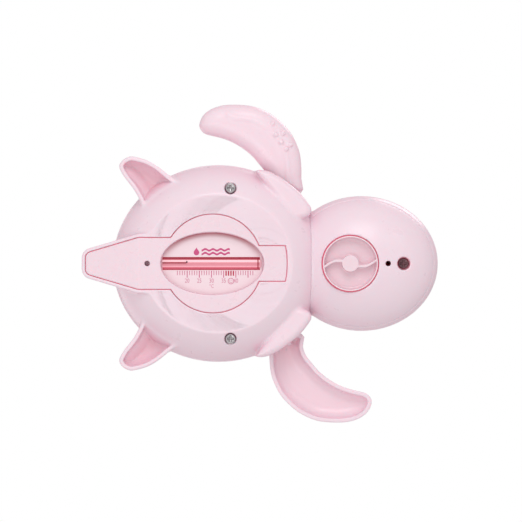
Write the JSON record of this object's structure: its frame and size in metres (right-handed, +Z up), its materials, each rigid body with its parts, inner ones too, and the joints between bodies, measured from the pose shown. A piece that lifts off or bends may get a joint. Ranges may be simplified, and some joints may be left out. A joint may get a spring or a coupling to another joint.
{
  "type": "floating bath thermometer",
  "caption": "Turtle-shaped floating bath thermometer with a wind-up clockwork, turning flippers and a removable thermometer insert in its belly.",
  "frame": {"origin": "centre of the object's plan outline, on the plane of the flat belly it rests on", "axes": "+X towards the head, +Y towards the turtle's left flipper, +Z up out of the back; the flat belly faces -Z"},
  "size_m": [0.1714, 0.1532, 0.05],
  "materials": {
    "pink_shell": "glossy pale pink moulded plastic",
    "steel": "plain steel",
    "gear_plastic": "natural white acetal",
    "case_plastic": "grey-white moulded plastic",
    "clear_lens": "clear moulded plastic window",
    "tube_glass": "clear glass capillary tube",
    "scale_card": "white plate printed with a degree scale",
    "red_liquid": "dyed red spirit"
  },
  "bodies": {
    "shell": {"lower_shell": "pink_shell", "upper_shell": "pink_shell", "head_bottom": "pink_shell", "head_top": "pink_shell", "motor_case_bottom": "case_plastic", "motor_case_top": "case_plastic", "crown_pin": "steel", "intermediate_pin": "steel", "mainspring": "steel", "belly_screws": "steel", "head_screw": "steel"},
    "flippers": {"flipper_shaft": "steel", "right_flipper": "pink_shell", "left_flipper": "pink_shell", "output_pinion": "gear_plastic"},
    "crown": {"crown_wheel": "gear_plastic"},
    "intermediate": {"intermediate_wheel": "gear_plastic"},
    "great": {"great_wheel": "gear_plastic", "click_pawl": "steel"},
    "winder": {"winding_knob": "pink_shell", "winding_arbor": "steel", "ratchet_wheel": "steel"},
    "insert": {"insert_frame": "pink_shell", "window_lens": "clear_lens", "scale_plate": "scale_card", "glass_tube": "tube_glass", "liquid_column": "red_liquid", "insert_back": "pink_shell"}
  },
  "joints": [
    {"name": "flipper_spin", "type": "hinge", "parent": "shell", "child": "flippers", "pos_m": [0.0118, 0, 0.022], "axis": [0, 1, 0], "continuous": true},
    {"name": "crown_spin", "type": "hinge", "parent": "shell", "child": "crown", "pos_m": [0.0118, 0, 0.016], "axis": [0, 0, 1], "continuous": true},
    {"name": "intermediate_spin", "type": "hinge", "parent": "shell", "child": "intermediate", "pos_m": [0.02448, 0.00174, 0.018], "axis": [0, 0, 1], "continuous": true},
    {"name": "great_spin", "type": "hinge", "parent": "shell", "child": "great", "pos_m": [0.0428, 0, 0.02], "axis": [0, 0, 1], "continuous": true},
    {"name": "winder_turn", "type": "hinge", "parent": "shell", "child": "winder", "pos_m": [0.0428, 0, 0.006], "axis": [0, 0, 1], "continuous": true},
    {"name": "insert_release", "type": "slide", "parent": "shell", "child": "insert", "axis": [0, 0, -1], "range_m": [0, 0.03]}
  ],
  "couplings": [
    {"joint": "crown_spin", "follows": "flipper_spin", "ratio": 0.41667},
    {"joint": "intermediate_spin", "follows": "flipper_spin", "ratio": -0.18939},
    {"joint": "great_spin", "follows": "flipper_spin", "ratio": 0.046069}
  ]
}
